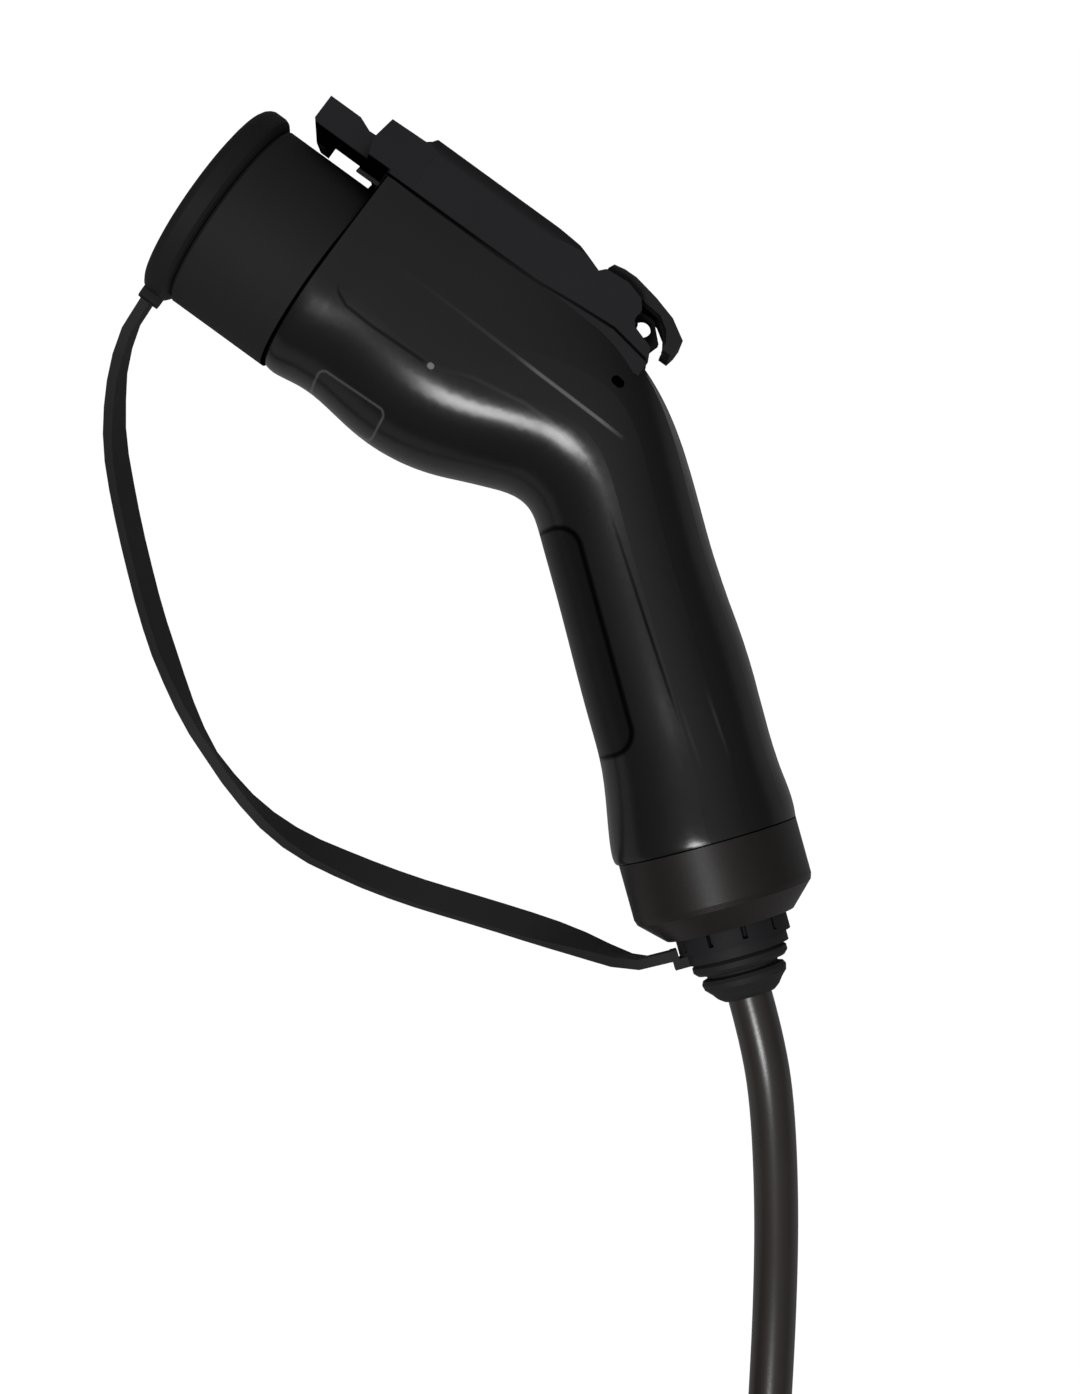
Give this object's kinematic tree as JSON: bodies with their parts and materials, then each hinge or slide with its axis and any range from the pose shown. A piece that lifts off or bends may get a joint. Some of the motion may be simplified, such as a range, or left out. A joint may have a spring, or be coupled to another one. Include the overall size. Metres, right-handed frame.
{
  "type": "charging plug",
  "caption": "Tethered electric car charging plug with an angled pistol grip, a thumb latch, a push-on dust cap on a strap and its cable wound in a tied coil.",
  "frame": {"origin": "on the nozzle's axis, in the plane of the shoulder where it meets the body", "axes": "-X points out of the nozzle's mouth, +Y to the latch side, and +Z across the plug, up from the table it lies on"},
  "size_m": [0.3115, 0.3501, 0.047],
  "materials": {
    "gloss_black": "gloss",
    "matte_black": "satin",
    "collar_black": "matte",
    "insert_grey": "satin",
    "black_rubber": "matte",
    "cable_jacket": "satin",
    "steel": "satin",
    "contact_metal": "satin",
    "switch_case": "matte",
    "board": "satin",
    "core_insulation": "satin",
    "tie": "matte"
  },
  "bodies": {
    "plug": {"body_shell_left": "gloss_black", "body_shell_right": "gloss_black", "grip_pad": "black_rubber", "nozzle": "matte_black", "insert_gasket": "black_rubber", "contact_insert": "insert_grey", "contact_towers": "insert_grey", "line_contact": "contact_metal", "neutral_contact": "contact_metal", "earth_contact": "contact_metal", "pilot_contact": "contact_metal", "proximity_contact": "contact_metal", "latch_cover": "matte_black", "pivot_pin": "steel", "latch_spring": "steel", "proximity_switch": "switch_case", "switch_board": "board", "end_collar": "collar_black", "gland_body": "matte_black", "gland_seal": "black_rubber", "castle_nut": "matte_black", "strap_eye": "black_rubber", "cable_bellows": "black_rubber", "cable_clamp": "matte_black", "clamp_screws": "steel", "shell_screws": "steel", "inner_wires": "core_insulation", "jacket_end": "cable_jacket", "cap_strap": "black_rubber", "cable_run": "cable_jacket", "cable_coil": "cable_jacket", "cable_ties": "tie", "core_tails": "core_insulation", "core_ferrules": "contact_metal"},
    "latch": {"latch_lever": "matte_black"},
    "plunger": {"switch_plunger": "switch_case"},
    "cap": {"dust_cap": "black_rubber"}
  },
  "joints": [
    {"name": "latch_pivot", "type": "hinge", "parent": "plug", "child": "latch", "pos_m": [0.024, 0.03, 0], "axis": [0, 0, -1], "range_deg": [0, 2], "stiffness_Nm_per_rad": 2, "springref_deg": -5.73, "deforming": ["latch_spring"]},
    {"name": "switch_press", "type": "slide", "parent": "plug", "child": "plunger", "axis": [0, -1, 0], "range_m": [0, 0.0008]},
    {"name": "cap_pull", "type": "slide", "parent": "plug", "child": "cap", "axis": [-1, 0, 0], "range_m": [0, 0.045], "deforming": ["cap_strap"]}
  ],
  "couplings": [
    {"joint": "switch_press", "follows": "latch_pivot", "m_per_rad": 0.021}
  ]
}
